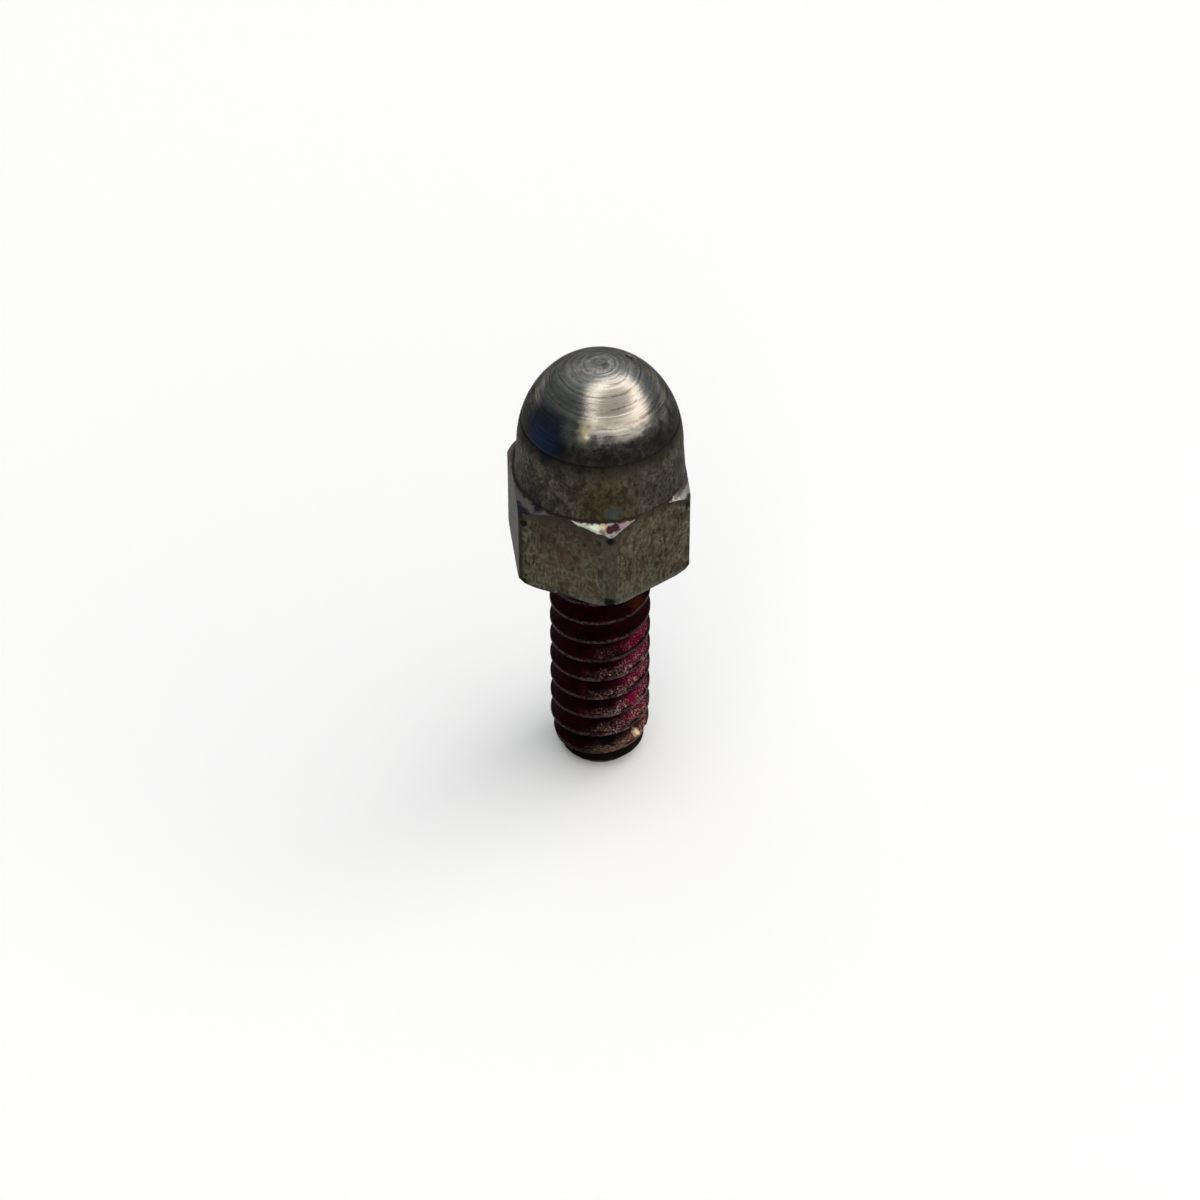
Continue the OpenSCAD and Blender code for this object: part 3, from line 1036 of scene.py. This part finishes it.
# Sawn steel blackened by oil: the saw's marks run one way across it, and it hardly shines.
def sawn_end():
    end = Surface("sawn_steel_end")
    marks = end.lumps(0.15, 0.4, 0.65, (6, 1, 1), detail=3)
    return end.finish(
        Base_Color=end.colours(linear("#221e1b"), [(marks, "#423d38")]),
        Metallic=0.6,
        Roughness=end.levels(0.5, [(marks, 0.42)]),
        Normal=end.relief([(marks, 0.006)]),
    )


# Matt white paper under the bolt.
def plain_paper():
    paper = Surface("white_paper")
    return paper.finish(Base_Color=linear("#fdfdfd"), Roughness=0.9, Specular_IOR_Level=0.0)


materials = {
    "flats": dull_hexagon(),
    "chamfer": bright_chamfer(),
    "shoulder": dull_shoulder(),
    "dome": turned_dome(),
    "thread": locked_thread(),
    "end": sawn_end(),
}

bolt = build_bolt(materials)
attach(bolt, "root")
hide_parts(NODE)


# ---- Floor, light and camera ----
TARGET = Vector((0, 0, 0.01605))
VIEW_AZIMUTH = math.radians(-7.5)
VIEW_ELEVATION = math.radians(41.08)
VIEW_DISTANCE = 0.2445
# The camera points this far below the target, which sets the bolt above the frame's middle.
AIM_DROP = math.radians(0.804)
FRAME_ANGLE = math.radians(16.39)
FLOOR_HALF = 3
# Where the softbox's glow has its slanted edge, and its dimmer middle with a brighter rim, in
# shares of its width and height.
GLOW_SLANT = (1, -0.334, 0)
GLOW_EDGE = (-0.14, -0.1)
GLOW_CENTRE = (0.31, 0.52, 0)
GLOW_RIM = (0.21, 0.3)
GLOW_MIDDLE = 0.18
# The studio is lightest high up behind the bolt.
SKY_AZIMUTH = math.radians(166)
SKY_ELEVATION = math.radians(50)
SKY_SPREAD = (0.35, 0.95)
SKY_DARK = "#61676c"
SKY_LIGHT = "#c5cace"


def direction(azimuth, elevation):
    """Unit vector from the object. Azimuth 0 is towards -Y, and grows towards +X."""
    flat = math.cos(elevation)
    return Vector((math.sin(azimuth) * flat, -math.cos(azimuth) * flat, math.sin(elevation)))


def make_camera():
    """The camera, at the angle and distance that the bolt is shown from."""
    data = bpy.data.cameras.new("camera")
    data.lens_unit = "FOV"
    data.angle = FRAME_ANGLE
    data.clip_start = 0.01
    data.clip_end = 50
    camera = bpy.data.objects.new("camera", data)
    camera.location = TARGET + direction(VIEW_AZIMUTH, VIEW_ELEVATION) * VIEW_DISTANCE
    aim = -direction(VIEW_AZIMUTH, VIEW_ELEVATION + AIM_DROP)
    camera.rotation_mode = "QUATERNION"
    camera.rotation_quaternion = aim.to_track_quat("-Z", "Y")
    bpy.context.scene.collection.objects.link(camera)
    bpy.context.scene.camera = camera


def make_floor():
    """A plain pale floor under the end of the stud."""
    mesh = bmesh.new()
    bmesh.ops.create_grid(mesh, x_segments=1, y_segments=1, size=FLOOR_HALF)
    data = bpy.data.meshes.new("floor")
    mesh.to_mesh(data)
    mesh.free()
    data.materials.append(plain_paper())
    floor = bpy.data.objects.new("floor", data)
    bpy.context.scene.collection.objects.link(floor)


def make_softbox(name, azimuth, elevation, distance, across, up, roll, power, code):
    """A softbox that faces the bolt. Across and up each hold its half size and its shift, as
    shares of its distance, so that it can stand far off and light the floor evenly."""
    data = bpy.data.lights.new(name, "AREA")
    data.shape = "RECTANGLE"
    data.size = 2 * across[0] * distance
    data.size_y = 2 * up[0] * distance
    data.energy = power
    data.color = linear(code)[:3]
    lamp = bpy.data.objects.new(name, data)
    towards = direction(math.radians(azimuth), math.radians(elevation))
    turned = (-towards).to_track_quat("-Z", "Y") @ Quaternion((0, 0, 1), math.radians(roll))
    shift = turned @ Vector((across[1], up[1], 0))
    lamp.location = TARGET + (towards + shift) * distance
    lamp.rotation_mode = "QUATERNION"
    lamp.rotation_quaternion = turned
    lamp.visible_camera = False
    bpy.context.scene.collection.objects.link(lamp)
    return data


def shape_glow(data):
    """Gives a softbox a dimmer middle, and slants the edge on one side of it."""
    data.use_nodes = True
    tree = data.node_tree
    place = add(tree, "ShaderNodeNewGeometry").outputs["Parametric"]
    slant = {0: place, 1: GLOW_SLANT}
    across = add(tree, "ShaderNodeVectorMath", slant, operation="DOT_PRODUCT").outputs["Value"]
    upwards = add(tree, "ShaderNodeSeparateXYZ", {0: place}).outputs[1]
    slanted = add(tree, "ShaderNodeCombineXYZ", {0: across, 1: upwards}).outputs[0]
    middle = {0: slanted, 1: GLOW_CENTRE}
    away = add(tree, "ShaderNodeVectorMath", middle, operation="DISTANCE").outputs["Value"]
    rim = {0: away, 1: GLOW_RIM[0], 2: GLOW_RIM[1], 3: GLOW_MIDDLE}
    rim = add(tree, "ShaderNodeMapRange", rim, **SMOOTH).outputs[0]
    lit = {0: across, 1: GLOW_EDGE[0], 2: GLOW_EDGE[1]}
    lit = add(tree, "ShaderNodeMapRange", lit, **SMOOTH).outputs[0]
    glow = add(tree, "ShaderNodeMath", {0: rim, 1: lit}, operation="MULTIPLY").outputs[0]
    tree.links.new(glow, tree.nodes["Emission"].inputs["Strength"])


def make_world():
    """The studio's faint light, which changes with direction only."""
    world = bpy.data.worlds.new("studio")
    world.use_nodes = True
    tree = world.node_tree
    place = add(tree, "ShaderNodeTexCoord").outputs["Generated"]
    facing = {0: place, 1: direction(SKY_AZIMUTH, SKY_ELEVATION)}
    facing = add(tree, "ShaderNodeVectorMath", facing, operation="DOT_PRODUCT").outputs["Value"]
    share = {0: facing, 1: SKY_SPREAD[0], 2: SKY_SPREAD[1]}
    share = add(tree, "ShaderNodeMapRange", share, **SMOOTH).outputs[0]
    shades = {0: share, 6: linear(SKY_DARK), 7: linear(SKY_LIGHT)}
    colour = add(tree, "ShaderNodeMix", shades, data_type="RGBA").outputs[2]
    tree.links.new(colour, tree.nodes["Background"].inputs["Color"])
    bpy.context.scene.world = world


make_camera()
make_floor()
softbox = make_softbox(
    "softbox",
    azimuth=42,
    elevation=56,
    distance=2.5,
    across=(1.15, -0.05),
    up=(0.96, 0.01),
    roll=-22,
    power=203,
    code="#fffbf7",
)
shape_glow(softbox)
make_world()
bpy.context.scene.view_settings.view_transform = "Standard"
